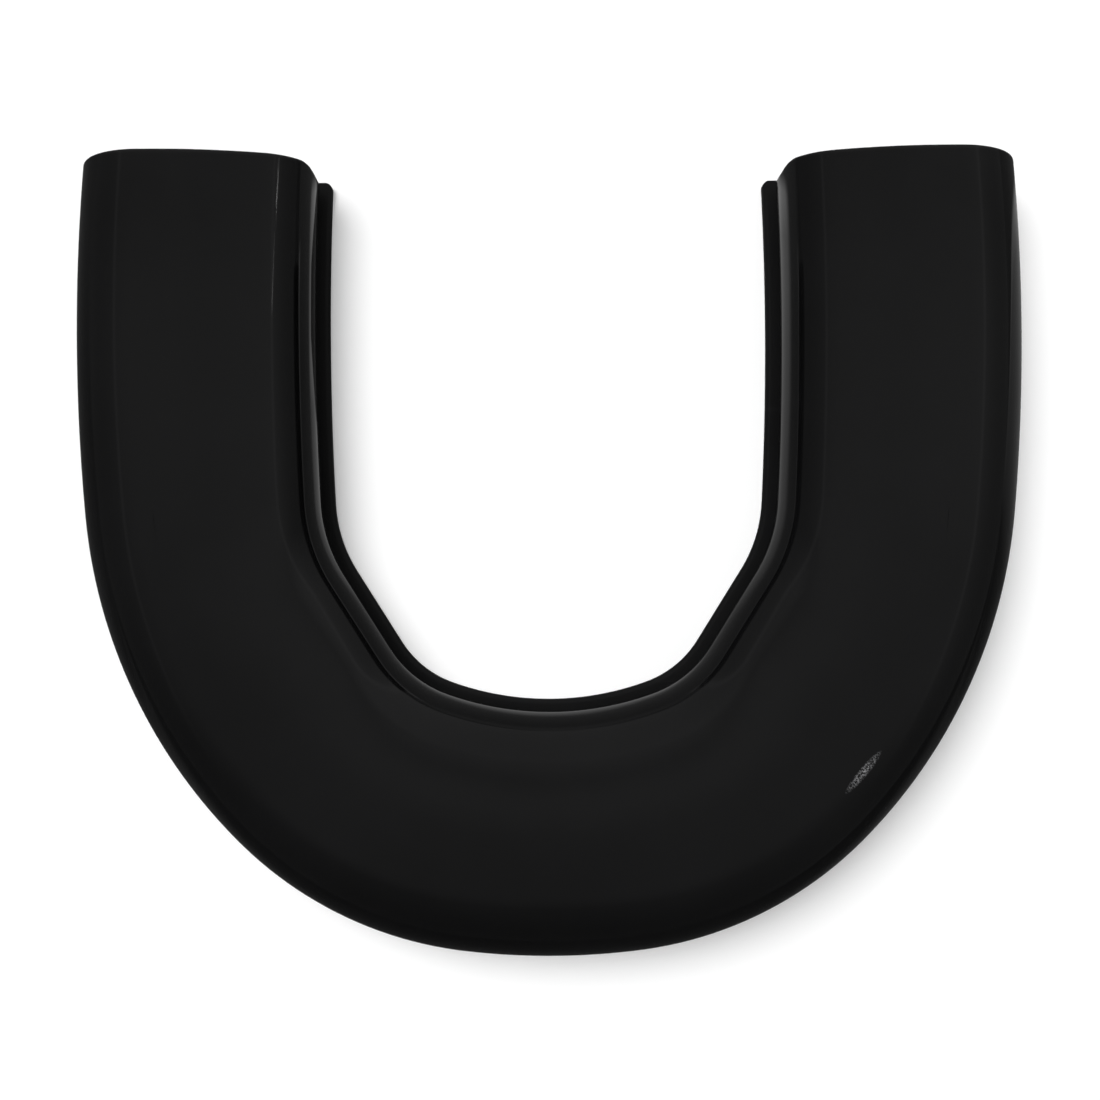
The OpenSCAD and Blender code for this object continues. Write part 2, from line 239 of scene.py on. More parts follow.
def spun(profile, at, steps=96, closed=True):
    # turns a chain of (radius, z) points about an upright axis
    bm = bmesh.new()
    verts = [bm.verts.new((r * mm, 0, z * mm)) for r, z in profile]
    edges = [bm.edges.new(pair) for pair in zip(verts, verts[1:])]
    if closed:
        edges.append(bm.edges.new((verts[-1], verts[0])))
    bmesh.ops.spin(bm, geom=verts + edges, cent=(0, 0, 0), axis=(0, 0, 1), angle=2 * pi, steps=steps,
                   use_merge=True)
    bmesh.ops.remove_doubles(bm, verts=bm.verts, dist=1e-6)
    bmesh.ops.dissolve_degenerate(bm, dist=1e-7, edges=bm.edges)
    bmesh.ops.recalc_face_normals(bm, faces=bm.faces)
    bmesh.ops.translate(bm, verts=bm.verts, vec=Vector(at) * mm)
    return bm


def addTo(bm, part):
    # copies one bmesh into another
    mesh = bpy.data.meshes.new("moved")
    part.to_mesh(mesh)
    part.free()
    bm.from_mesh(mesh)
    bpy.data.meshes.remove(mesh)


layout = {"pairs": 7, "wall": 2.5, "endScrewOffset": 13, "endScrewInset": 8.5}
midX = housing["width"] / 2 - housing["armWidth"] / 2
bendY = -housing["depth"] / 2 + housing["baseWidth"] / 2 + midX
bendLength = pi / 2 * midX
midLength = bendLength + housing["depth"] / 2 - layout["wall"] - bendY
pitch = midLength / ((layout["pairs"] - 1) / 2 + 0.5)


def middleAt(s):
    if abs(s) < bendLength:
        a = s / bendLength * pi / 2
        return (midX * sin(a), bendY - midX * cos(a))
    return ((1 if s > 0 else -1) * midX, bendY + abs(s) - bendLength)


sidePairs = (layout["pairs"] - 1) // 2
pairAt = [middleAt(k * pitch) for k in range(-sidePairs, sidePairs + 1)]
screwAt = [middleAt((k + 0.5) * pitch) for k in range(-sidePairs, sidePairs)]
endY = housing["depth"] / 2 - layout["endScrewInset"]
screwAt += [(side * (midX + off * layout["endScrewOffset"]), endY) for side in (-1, 1) for off in (-1, 1)]


cover = {
    "wall": 2.5, "outerRoll": 18.5, "innerRoll": 16, "crown": 110, "crownTurn": 15,
    "reveal": 2.4, "lipZ": 11, "footZ": 3, "endRound": 0.8, "cornerRound": 4, "slotRelief": 4,
    "lipRound": 0.75, "pinBoss": 8, "screwBoss": 7.5, "pinBore": 3.06, "screwBore": 3.56,
    "topBossZ": 19, "pinSeat": 4, "screwLength": 16,
}
crownTurn = radians(cover["crownTurn"])
crownOut = cover["reveal"] + cover["innerRoll"] * (1 - sin(crownTurn)) + cover["crown"] * sin(crownTurn)
crownZ = housing["height"] - cover["crown"]
rollOut = crownOut - (cover["crown"] - cover["innerRoll"]) * sin(crownTurn)
rollZ = crownZ + (cover["crown"] - cover["innerRoll"]) * cos(crownTurn)


def coverProfile(inset):
    r = cover["outerRoll"]
    top = housing["height"] - r
    columns = [("outer", -inset, cover["footZ"] + (top - cover["footZ"]) * k / 4) for k in range(4)]
    columns += arc("outer", -r, top, r - inset, 0, 90, 22)
    columns += [("flat", -r, crownOut, k / 4, housing["height"] - inset) for k in range(1, 4)]
    columns += arc("throat", crownOut, crownZ, cover["crown"] - inset, 90, 90 + cover["crownTurn"], 10)
    columns += arc("throat", rollOut, rollZ, cover["innerRoll"] - inset, 90 + cover["crownTurn"], 180, 20, 1)
    foot = cover["reveal"] + inset
    columns += [("throat", foot, rollZ + (cover["lipZ"] - rollZ) * k / 4) for k in range(1, 5)]
    return columns


def skinHeight(off):
    # height of the cover's skin over a point that lies off outward from the middle line
    out = housing["armWidth"] / 2 + off
    if out < crownOut:
        return crownZ + sqrt(cover["crown"] ** 2 - (crownOut - out) ** 2)
    return housing["height"]


def coverSkin():
    bm = loft(armRows(cover["endRound"], cover["cornerRound"]), coverProfile, cover["cornerRound"],
              cover["reveal"], capped=False)
    # closes each end with a flat wall that stops short of the slot
    for side in (-1, 1):
        endVerts = [v for v in bm.verts if v.co.y > (housing["depth"] / 2) * mm - 1e-6 and v.co.x * side > 0]
        endEdges = [e for e in bm.edges if all(v in endVerts for v in e.verts)]
        corner = outlinePoint(throat, ("arm", housing["depth"] / 2), cover["reveal"] + cover["slotRelief"])
        foot = bm.verts.new((side * corner.x * mm, corner.y * mm, cover["footZ"] * mm))
        low = [v for v in endVerts if sum(1 for e in v.link_edges if e in endEdges) == 1]
        endEdges += [bm.edges.new((v, foot)) for v in low]
        bmesh.ops.contextual_create(bm, geom=endEdges)
    bmesh.ops.recalc_face_normals(bm, faces=bm.faces)
    # the skin is open below, so its faces look up where they point outwards
    if sum(f.normal.z * f.calc_area() for f in bm.faces) < 0:
        bmesh.ops.reverse_faces(bm, faces=bm.faces)
    return bm


def coverPiece():
    piece = objectFrom(coverSkin(), "frontCover")
    shell = piece.modifiers.new("wall", "SOLIDIFY")
    shell.thickness = cover["wall"] * mm
    shell.offset = -1
    shell.use_even_offset = True
    shell.use_quality_normals = True
    applied(piece)
    bm = bmesh.new()
    bm.from_mesh(piece.data)
    rim = [e for e in bm.edges if e.is_manifold and e.calc_face_angle() > radians(60)
           and max(v.co.z for v in e.verts) < (cover["lipZ"] + 0.3) * mm]
    bmesh.ops.bevel(bm, geom=rim, offset=cover["lipRound"] * mm, offset_type="OFFSET", segments=3,
                    profile=0.5, affect="EDGES", material=-1, clamp_overlap=True)
    for x, y in pairAt:
        addTo(bm, bossTube((x, y), cover["pinBoss"] / 2, cover["pinBore"] / 2, cover["topBossZ"],
                           skinHeight(0) - cover["wall"] / 2, cover["topBossZ"] + cover["pinSeat"]))
    for x, y in screwAt:
        off = abs(x) - midX if abs(y - endY) < 0.5 else 0
        addTo(bm, bossTube((x, y), cover["screwBoss"] / 2, cover["screwBore"] / 2, cover["footZ"],
                           skinHeight(off) - cover["wall"] / 2, cover["screwLength"] + 1))
    for v in bm.verts:
        v.co.y = min(v.co.y, housing["depth"] / 2 * mm)
    piece.data.materials.clear()
    fillMesh(piece.data, bm)
    return piece


def bossTube(at, radius, bore, low, high, boreTop):
    # a boss with a blind bore and a softened mouth
    soft = 0.35
    return spun([(0, boreTop), (bore, boreTop), (bore, low + soft), (bore + soft, low), (radius - soft, low),
                 (radius - soft * 0.3, low + soft * 0.3), (radius, low + soft), (radius, high), (0, high)],
                (at[0], at[1], 0), steps=48, closed=False)


plate = {
    "thick": 3, "edge": 1, "seam": 0.4, "cornerRound": 2.5, "endRound": 0.4,
    "rimHeight": 2.5, "rimThick": 1.6, "rimFit": 0.2, "rimFromEnd": 6.3, "bossHeight": 2.2, "bossFlare": 1,
    "pinBore": 3.06, "headWidth": 6.8, "headSink": 0.2, "screwHole": 3.9, "headFit": 0.06,
}


def plateProfile(inset):
    t = plate["thick"]
    columns = arc("outer", -plate["edge"], plate["edge"], plate["edge"] - inset, 0, -90, 5)
    columns += [("flat", -plate["edge"], t / 2, k / 6, inset) for k in range(1, 6)]
    columns += arc("throat", t / 2, t / 2, t / 2 - inset, 270, 90, 12)
    columns += [("flat", -plate["seam"], t / 2, 1 - k / 6, t - inset) for k in range(1, 6)]
    columns += arc("outer", -plate["seam"], t - plate["seam"], max(plate["seam"] - inset, 0.01), 90, 0, 3)
    columns += [columns[0]]
    return columns


def rimProfile(inset):
    outside = -cover["wall"] - plate["rimFit"]
    inside = outside - plate["rimThick"]
    low, high, soft = plate["thick"] - 0.5, plate["thick"] + plate["rimHeight"], 0.3
    columns = [("outer", outside, low), ("outer", outside, high - soft), ("outer", outside - soft, high),
               ("outer", inside + soft, high), ("outer", inside, high - soft), ("outer", inside, low)]
    return columns + [columns[0]]


def platePiece():
    bm = loft(armRows(plate["endRound"], plate["cornerRound"]), plateProfile, plate["cornerRound"], 0,
              closed=True)
    piece = objectFrom(bm, "backPlate")
    # countersunk holes for the screws
    tool = bmesh.new()
    head, hole = plate["headWidth"] / 2 + plate["headFit"] / 2, plate["screwHole"] / 2
    above = plate["thick"] + 1
    for x, y in screwAt:
        addTo(tool, spun([(0, -1), (head, -1), (head, plate["headSink"]),
                          (hole, plate["headSink"] + head - hole), (hole, above), (0, above)],
                         (x, y, 0), steps=40, closed=False))
    bmesh.ops.recalc_face_normals(tool, faces=tool.faces)
    cutter = objectFrom(tool, "countersinks")
    cut = piece.modifiers.new("holes", "BOOLEAN")
    cut.operation, cut.object, cut.solver = "DIFFERENCE", cutter, "EXACT"
    applied(piece)
    bpy.data.objects.remove(cutter)
    bm = bmesh.new()
    bm.from_mesh(piece.data)
    addTo(bm, loft(armRows(0, 0, first=plate["rimFromEnd"]), rimProfile, closed=True))
    floorZ, flare, soft = plate["thick"], plate["bossFlare"], 0.3
    low, top = floorZ - 0.4, floorZ + plate["bossHeight"]
    radius, bore = cover["pinBoss"] / 2, plate["pinBore"] / 2
    for x, y in pairAt:
        addTo(bm, spun([(bore, low), (bore, top - soft), (bore + soft, top), (radius - soft, top),
                        (radius, top - soft), (radius, floorZ + flare),
                        (radius + flare * 0.35, floorZ + flare * 0.35), (radius + flare, floorZ),
                        (radius + flare, low)], (x, y, 0), steps=48))
    fillMesh(piece.data, bm)
    return piece


jingle = {
    "wide": 48, "sheet": 0.7, "hole": 4.2, "domeTop": 5, "domeFoot": 10, "domeRise": 2.6, "flangeRise": 1.3,
    "gap": 0.2, "lowZ": 5.4, "steps": 144, "dents": [(13.4, 22), (16.9, 28), (20.3, 34)], "dentDeep": 0.16,
    "dentWide": 1.35, "dentReach": 3,
}
jingleHigh = jingle["domeRise"] + jingle["flangeRise"] + jingle["sheet"]


def jingleRise(r):
    # height of the underside at a radius, dome down
    if r <= jingle["domeTop"]:
        return 0
    if r <= jingle["domeFoot"]:
        t = (r - jingle["domeTop"]) / (jingle["domeFoot"] - jingle["domeTop"])
        return jingle["domeRise"] * (1 - cos(pi * t)) / 2
    return jingle["domeRise"] + jingle["flangeRise"] * (r - jingle["domeFoot"]) / (
        jingle["wide"] / 2 - jingle["domeFoot"])


def dentAt(r, angle, turned):
    # how far the hammer has pushed the sheet in at a point of the flange
    deep = 0
    for k, (ring, count) in enumerate(jingle["dents"]):
        if abs(r - ring) > jingle["dentReach"]:
            continue
        step = 2 * pi / count
        phase = (angle + turned + 0.5 * k * step) % step - step / 2
        away = hypot(phase * ring, r - ring) / jingle["dentWide"]
        deep = max(deep, exp(-away * away))
    return deep * jingle["dentDeep"]


def jinglePiece(name, at, low, upsideDown, turned):
    sheet, soft = jingle["sheet"], 0.18
    rim, hole = jingle["wide"] / 2, jingle["hole"] / 2
    top, foot = jingle["domeTop"], jingle["domeFoot"]
    radii = [hole + soft, 3.2, 4.2] + [top + (foot - top) * k / 12 for k in range(13)]
    radii += [foot + (rim - soft - foot) * k / 20 for k in range(1, 21)]
    profile = [(r, jingleRise(r)) for r in radii]
    profile += [(rim, jingleRise(rim) + soft), (rim, jingleRise(rim) + sheet - soft)]
    profile += [(r, jingleRise(r) + sheet) for r in reversed(radii)]
    profile += [(hole, sheet - soft), (hole, soft)]
    bm = spun(profile, (0, 0, 0), steps=jingle["steps"])
    uv = bm.loops.layers.uv.new("rings")
    for v in bm.verts:
        x, y = v.co.x / mm, v.co.y / mm
        v.co.z += dentAt(hypot(x, y), atan2(y, x), turned) * mm
    for f in bm.faces:
        middle = f.calc_center_median()
        base = atan2(middle.y, middle.x)
        for loop in f.loops:
            a = atan2(loop.vert.co.y, loop.vert.co.x)
            a += 2 * pi * round((base - a) / (2 * pi))
            loop[uv].uv = (a / (2 * pi), hypot(loop.vert.co.x, loop.vert.co.y) / (rim * mm))
    if upsideDown:
        bmesh.ops.scale(bm, vec=(1, 1, -1), verts=bm.verts)
        bmesh.ops.translate(bm, verts=bm.verts, vec=(0, 0, jingleHigh * mm))
        bmesh.ops.recalc_face_normals(bm, faces=bm.faces)
    bmesh.ops.translate(bm, verts=bm.verts, vec=Vector((at[0], at[1], low)) * mm)
    return objectFrom(bm, name, 50)


pin = {"wide": 3, "lowZ": 1.23, "highZ": 22.97, "chamfer": 0.4}


def pinPiece(name, at):
    r, c, low, high = pin["wide"] / 2, pin["chamfer"], pin["lowZ"], pin["highZ"]
    profile = [(0, low), (r - c, low), (r - c * 0.3, low + c * 0.4), (r, low + c),
               (r, high - c), (r - c * 0.3, high - c * 0.4), (r - c, high), (0, high)]
    return objectFrom(spun(profile, (at[0], at[1], 0), steps=48, closed=False), name)


screw = {
    "head": 6.8, "shank": 3.5, "root": 2.5, "length": 16, "tip": 2.5, "sink": 0.2,
    "recessLong": 3.6, "recessWide": 0.9, "recessDeep": 1.1, "recessTaper": 0.55,
    "threadPitch": 1.3, "threadFrom": 3.2, "firstTurn": 17, "nextTurn": 53,
}


def turnPart(bm, angle):
    bmesh.ops.rotate(bm, verts=bm.verts, cent=(0, 0, 0), matrix=Matrix.Rotation(radians(angle), 3, "Z"))


def screwPiece():
    bm = bmesh.new()
    head, shank, root = screw["head"] / 2, screw["shank"] / 2, screw["root"] / 2
    cone = head - shank
    sink, length = screw["sink"], screw["length"]
    for k, (x, y) in enumerate(screwAt):
        body = spun([(0, sink), (head - 0.25, sink), (head, sink + 0.2), (shank, sink + cone),
                     (shank, sink + cone + 0.8), (root, sink + cone + 1.2),
                     (root, length - screw["tip"]), (0.35, length), (0, length)],
                    (0, 0, 0), steps=40, closed=False)
        # thread: a small triangle swept up round the shank
        turns = (length - screw["tip"] - screw["threadFrom"]) / screw["threadPitch"]
        thread = bmesh.new()
        chain = [thread.verts.new((r * mm, 0, (screw["threadFrom"] + z) * mm)) for r, z in
                 ((root - 0.1, -0.35), (shank - 0.02, 0), (root - 0.1, 0.35))]
        edges = [thread.edges.new((chain[a], chain[(a + 1) % 3])) for a in range(3)]
        thread.faces.new(chain)
        steps = int(turns * 20)
        swept = bmesh.ops.spin(thread, geom=chain + edges, cent=(0, 0, 0), axis=(0, 0, 1),
                               dvec=(0, 0, screw["threadPitch"] * turns * mm / steps), angle=2 * pi * turns,
                               steps=steps, use_merge=False)
        last = [g for g in swept["geom_last"] if isinstance(g, bmesh.types.BMVert)]
        thread.faces.new(last)
        bmesh.ops.recalc_face_normals(thread, faces=thread.faces)
        addTo(body, thread)
        turnPart(body, screw["firstTurn"] + screw["nextTurn"] * k)
        bmesh.ops.translate(body, verts=body.verts, vec=Vector((x, y, 0)) * mm)
        addTo(bm, body)
    piece = objectFrom(bm, "coverScrews")
    tool = bmesh.new()
    for k, (x, y) in enumerate(screwAt):
        for quarter in (0, 90):
            blade = bmesh.new()
            bmesh.ops.create_cube(blade, size=1)
            bladeSize = Vector((screw["recessLong"], screw["recessWide"], 2 * screw["recessDeep"])) * mm
            bmesh.ops.scale(blade, verts=blade.verts, vec=bladeSize)
            for v in blade.verts:
                if v.co.z > 0:
                    v.co.x *= screw["recessTaper"]
            turnPart(blade, screw["firstTurn"] + screw["nextTurn"] * k + quarter)
            bmesh.ops.translate(blade, verts=blade.verts, vec=Vector((x, y, screw["sink"])) * mm)
            addTo(tool, blade)
    cutter = objectFrom(tool, "crossBlades")
    cut = piece.modifiers.new("recess", "BOOLEAN")
    cut.operation, cut.object, cut.solver, cut.use_self = "DIFFERENCE", cutter, "EXACT", True
    applied(piece, 30)
    bpy.data.objects.remove(cutter)
    return piece


def newGroup(name, inputs, outputs):
    group = bpy.data.node_groups.new(name, "ShaderNodeTree")
    for label, kind, value in inputs:
        socket = group.interface.new_socket(name=label, in_out="INPUT", socket_type=kind)
        if value is not None:
            socket.default_value = value
    for label, kind in outputs:
        group.interface.new_socket(name=label, in_out="OUTPUT", socket_type=kind)
    return group, group.nodes.new("NodeGroupInput"), group.nodes.new("NodeGroupOutput")


def mathNode(tree, operation, a, b=None, clamp=False):
    node = tree.nodes.new("ShaderNodeMath")
    node.operation = operation
    node.use_clamp = clamp
    for socket, value in zip(node.inputs, (a, b)):
        if value is None:
            continue
        if isinstance(value, (int, float)):
            socket.default_value = value
        else:
            tree.links.new(value, socket)
    return node.outputs[0]


def times(tree, a, b):
    return mathNode(tree, "MULTIPLY", a, b)


def plus(tree, a, b):
    return mathNode(tree, "ADD", a, b)


def noiseNode(tree, vector, scale, detail=3, roughness=0.5):
    node = tree.nodes.new("ShaderNodeTexNoise")
    node.inputs["Detail"].default_value = detail
    node.inputs["Roughness"].default_value = roughness
    tree.links.new(vector, node.inputs["Vector"])
    if isinstance(scale, (int, float)):
        node.inputs["Scale"].default_value = scale
    else:
        tree.links.new(scale, node.inputs["Scale"])
    return node.outputs["Fac"]


def rangeNode(tree, value, low, high, toLow=0, toHigh=1):
    node = tree.nodes.new("ShaderNodeMapRange")
    node.clamp = True
    tree.links.new(value, node.inputs["Value"])
    for label, number in (("From Min", low), ("From Max", high), ("To Min", toLow), ("To Max", toHigh)):
        node.inputs[label].default_value = number
    return node.outputs["Result"]


def stretched(tree, vector, scale, turn):
    node = tree.nodes.new("ShaderNodeMapping")
    node.inputs["Scale"].default_value = scale
    node.inputs["Rotation"].default_value = turn
    tree.links.new(vector, node.inputs["Vector"])
    return node.outputs["Vector"]


def scratchGroup():
    # hairline scratches in three directions, broken up so that few of them run far
    inputs = [("Vector", "NodeSocketVector", None), ("Amount", "NodeSocketFloat", 1.0)]
    group, start, end = newGroup("hairlines", inputs, [("Mask", "NodeSocketFloat")])
    total = None
    for scale, turn in (((900, 22, 60), 0.4), ((26, 1100, 60), 0.15), ((1000, 30, 60), 1.9)):
        lines = noiseNode(group, stretched(group, start.outputs["Vector"], scale, (0, 0, turn)), 1.0, 1, 0.4)
        thin = rangeNode(group, lines, 0.70, 0.76)
        total = thin if total is None else mathNode(group, "MAXIMUM", total, thin)
    patches = rangeNode(group, noiseNode(group, start.outputs["Vector"], 38, 2), 0.48, 0.66)
    broken = times(group, total, patches)
    group.links.new(mathNode(group, "MULTIPLY", broken, start.outputs["Amount"], True), end.inputs["Mask"])
    return group


def smudgeGroup():
    # soft patches where hands have dulled the gloss, from 0 to 1
    inputs = [("Vector", "NodeSocketVector", None), ("Scale", "NodeSocketFloat", 30.0)]
    group, start, end = newGroup("smudges", inputs, [("Mask", "NodeSocketFloat")])
    broad = noiseNode(group, start.outputs["Vector"], start.outputs["Scale"], 4, 0.6)
    group.links.new(rangeNode(group, broad, 0.35, 0.75), end.inputs["Mask"])
    return group


hairlines, smudges = scratchGroup(), smudgeGroup()


def newMaterial(name, settings):
    material = bpy.data.materials.new(name)
    material.use_nodes = True
    tree = material.node_tree
    shader = tree.nodes["Principled BSDF"]
    for label, value in settings.items():
        shader.inputs[label].default_value = value
    material.diffuse_color = settings.get("Base Color", (0.5, 0.5, 0.5, 1))
    return material, tree, shader


def useGroup(tree, group, vector, **values):
    node = tree.nodes.new("ShaderNodeGroup")
    node.node_tree = group
    tree.links.new(vector, node.inputs["Vector"])
    for label, value in values.items():
        node.inputs[label].default_value = value
    return node.outputs["Mask"]


def mixColor(tree, factor, a, b):
    node = tree.nodes.new("ShaderNodeMix")
    node.data_type = "RGBA"
    tree.links.new(factor, node.inputs["Factor"])
    for label, value in (("A", a), ("B", b)):
        socket = [s for s in node.inputs if s.name == label and s.type == "RGBA"][0]
        if isinstance(value, tuple):
            socket.default_value = value
        else:
            tree.links.new(value, socket)
    return [s for s in node.outputs if s.type == "RGBA"][0]


def bump(tree, shader, height, strength, distance, under=None):
    node = tree.nodes.new("ShaderNodeBump")
    node.inputs["Strength"].default_value = strength
    node.inputs["Distance"].default_value = distance
    tree.links.new(height, node.inputs["Height"])
    if under is not None:
        tree.links.new(under, node.inputs["Normal"])
    tree.links.new(node.outputs["Normal"], shader.inputs["Normal"])
    return node.outputs["Normal"]


def objectVector(tree):
    return tree.nodes.new("ShaderNodeTexCoord").outputs["Object"]


gloss = {
    "color": (0.0024, 0.0024, 0.0025, 1), "worn": (0.0034, 0.0034, 0.0036, 1), "roughness": 0.05,
    "dulled": 0.11, "scratched": 0.25, "specular": 0.4,
    "scuffAndGlintAt": (0.0801, -0.0552, 0.031), "scuffAndGlintTurn": -0.70, "scuffAndGlintSize": (0.0011, 0.0064, 0.006),
    # the scuff patch's roughness and grit are real wear, its pale colour is a painted highlight
    "paintedGlintColor": (0.38, 0.38, 0.39, 1), "scuffRough": 0.3, "scuffAndGlintGrit": 2100,
    # scale, strength and depth of the moulding's sink and flow and of the orange peel
    "flow": (26, 0.5, 0.00022), "peel": (620, 0.25, 0.000006), "cut": (0.35, 0.000012),
}


def glossMaterial():
    settings = {"Base Color": gloss["color"], "Specular IOR Level": gloss["specular"],
                "Roughness": gloss["roughness"]}
    material, tree, shader = newMaterial("blackGloss", settings)
    place = objectVector(tree)
    dull = useGroup(tree, smudges, place, Scale=24.0)
    lines = useGroup(tree, hairlines, place, Amount=0.8)
    rough = rangeNode(tree, dull, 0, 1, gloss["roughness"], gloss["dulled"])
    rough = plus(tree, rough, rangeNode(tree, lines, 0, 1, 0, gloss["scratched"] - gloss["dulled"]))
    # a short scuff on the rolled edge of the bend: rougher and cut in, with a painted highlight where its
    # pale grey colour stands in for a glint
    centred = tree.nodes.new("ShaderNodeMapping")
    centred.vector_type = "TEXTURE"
    centred.inputs["Location"].default_value = gloss["scuffAndGlintAt"]
    centred.inputs["Rotation"].default_value = (0, 0, gloss["scuffAndGlintTurn"])
    centred.inputs["Scale"].default_value = gloss["scuffAndGlintSize"]
    tree.links.new(place, centred.inputs["Vector"])
    away = tree.nodes.new("ShaderNodeVectorMath")
    away.operation = "LENGTH"
    tree.links.new(centred.outputs["Vector"], away.inputs[0])
    spot = rangeNode(tree, away.outputs["Value"], 1.25, 0.35)
    grit = rangeNode(tree, noiseNode(tree, place, gloss["scuffAndGlintGrit"], 2, 0.7), 0.44, 0.68)
    scuffAndGlint = times(tree, spot, grit)
    rough = mathNode(tree, "ADD", rough, times(tree, scuffAndGlint, gloss["scuffRough"]), True)
    tree.links.new(rough, shader.inputs["Roughness"])
    base = mixColor(tree, dull, gloss["color"], gloss["worn"])
    # painted highlight: the scuff patch is coloured pale grey to stand in for a glint on the black plastic
    tree.links.new(mixColor(tree, scuffAndGlint, base, gloss["paintedGlintColor"]), shader.inputs["Base Color"])
    scale, strength, deep = gloss["flow"]
    first = bump(tree, shader, noiseNode(tree, place, scale, 1, 0.3), strength, deep)
    scale, strength, deep = gloss["peel"]
    second = bump(tree, shader, noiseNode(tree, place, scale, 1, 0.4), strength, deep, first)
    cuts = mathNode(tree, "SUBTRACT", times(tree, scuffAndGlint, 3.0), lines)
    bump(tree, shader, cuts, *gloss["cut"], second)
    return material


satin = {
    "color": (0.0040, 0.0040, 0.0042, 1), "worn": (0.0072, 0.0072, 0.0076, 1), "roughness": 0.42,
    "dulled": 0.56, "specular": 0.25, "grain": 1900,
}


def satinMaterial():
    settings = {"Base Color": satin["color"], "Specular IOR Level": satin["specular"],
                "Roughness": satin["roughness"]}
    material, tree, shader = newMaterial("blackSatin", settings)
    place = objectVector(tree)
    dull = useGroup(tree, smudges, place, Scale=45.0)
    lines = useGroup(tree, hairlines, place, Amount=1.0)
    grain = tree.nodes.new("ShaderNodeTexVoronoi")
    grain.feature = "SMOOTH_F1"
    grain.inputs["Scale"].default_value = satin["grain"]
    tree.links.new(place, grain.inputs["Vector"])
    wear = mathNode(tree, "MAXIMUM", times(tree, dull, 0.5), lines)
    tree.links.new(mixColor(tree, wear, satin["color"], satin["worn"]), shader.inputs["Base Color"])
    rough = rangeNode(tree, dull, 0, 1, satin["roughness"], satin["dulled"])
    tree.links.new(rough, shader.inputs["Roughness"])
    height = mathNode(tree, "SUBTRACT", grain.outputs["Distance"], times(tree, lines, 0.8))
    bump(tree, shader, height, 0.5, 0.00006)
    return material


nickel = {
    "color": (0.62, 0.60, 0.56, 1), "stain": (0.40, 0.36, 0.30, 1), "roughness": 0.24,
    "roughFrom": 0.2, "roughTo": 0.36, "stainRough": 0.14, "turning": (5, 260, 1),
}


def nickelMaterial():
    settings = {"Base Color": nickel["color"], "Metallic": 1.0, "Roughness": nickel["roughness"]}
    material, tree, shader = newMaterial("jingleNickel", settings)
    rings = tree.nodes.new("ShaderNodeUVMap")
    rings.uv_map = "rings"
    place = objectVector(tree)
    turning = noiseNode(tree, stretched(tree, rings.outputs["UV"], nickel["turning"], (0, 0, 0)), 1.0, 2, 0.5)
    stain = useGroup(tree, smudges, place, Scale=110.0)
    lines = useGroup(tree, hairlines, place, Amount=1.0)
    base = mixColor(tree, times(tree, stain, 0.55), nickel["color"], nickel["stain"])
    tree.links.new(base, shader.inputs["Base Color"])
    rough = rangeNode(tree, turning, 0.3, 0.7, nickel["roughFrom"], nickel["roughTo"])
    rough = mathNode(tree, "ADD", rough, times(tree, stain, nickel["stainRough"]), True)
    tree.links.new(rough, shader.inputs["Roughness"])
    height = mathNode(tree, "SUBTRACT", turning, lines)
    bump(tree, shader, height, 0.4, 0.00002)
    return material


# colour, roughness and the scale of the grain that drawing leaves, for each steel
steel = {
    "pinSteel": ((0.56, 0.57, 0.58, 1), 0.26, (300, 300, 2600)),
    "screwSteel": ((0.055, 0.055, 0.058, 1), 0.36, (1800, 1800, 500)),
}


def steelMaterial(name, color, roughness, turned):
    material, tree, shader = newMaterial(name, {"Base Color": color, "Metallic": 1.0, "Roughness": roughness})
    place = objectVector(tree)
    drawn = noiseNode(tree, stretched(tree, place, turned, (0, 0, 0)), 1.0, 2, 0.5)
    stain = useGroup(tree, smudges, place, Scale=260.0)
    dark = tuple(c * 0.55 for c in color[:3]) + (1,)
    tree.links.new(mixColor(tree, times(tree, stain, 0.6), color, dark), shader.inputs["Base Color"])
    rough = rangeNode(tree, drawn, 0.3, 0.7, roughness - 0.08, roughness + 0.1)
    rough = mathNode(tree, "ADD", rough, times(tree, stain, 0.12), True)
    tree.links.new(rough, shader.inputs["Roughness"])
    bump(tree, shader, drawn, 0.3, 0.00001)
    return material


blackGloss, blackSatin, jingleNickel = glossMaterial(), satinMaterial(), nickelMaterial()
pinSteel, screwSteel = [steelMaterial(name, *finish) for name, finish in steel.items()]
print("materials made")


def dress(piece, material, body, nodes):
    piece.data.materials.clear()
    piece.data.materials.append(material)
    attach(piece, body)
    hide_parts(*nodes)
    return piece


dress(coverPiece(), blackGloss, "housing", ["front_cover"])
print("front cover made")
dress(platePiece(), blackSatin, "housing", ["back_plate"])
print("back plate made")
dress(screwPiece(), screwSteel, "housing", ["cover_screws"])
print("screws made")
upperZ = jingle["lowZ"] + jingleHigh + jingle["gap"]
for number, at in enumerate(pairAt, 1):
    dress(pinPiece(f"pin{number}", at), pinSteel, "housing", [f"jingle_pin_{number}"])
    dress(jinglePiece(f"lowerJingle{number}", at, jingle["lowZ"], False, 0.7 * number), jingleNickel,
          f"jingle_{number}_lower", [f"jingle_{number}_lower"])
    dress(jinglePiece(f"upperJingle{number}", at, upperZ, True, 1.9 * number), jingleNickel,
          f"jingle_{number}_upper", [f"jingle_{number}_upper"])
print("pins and jingles made")


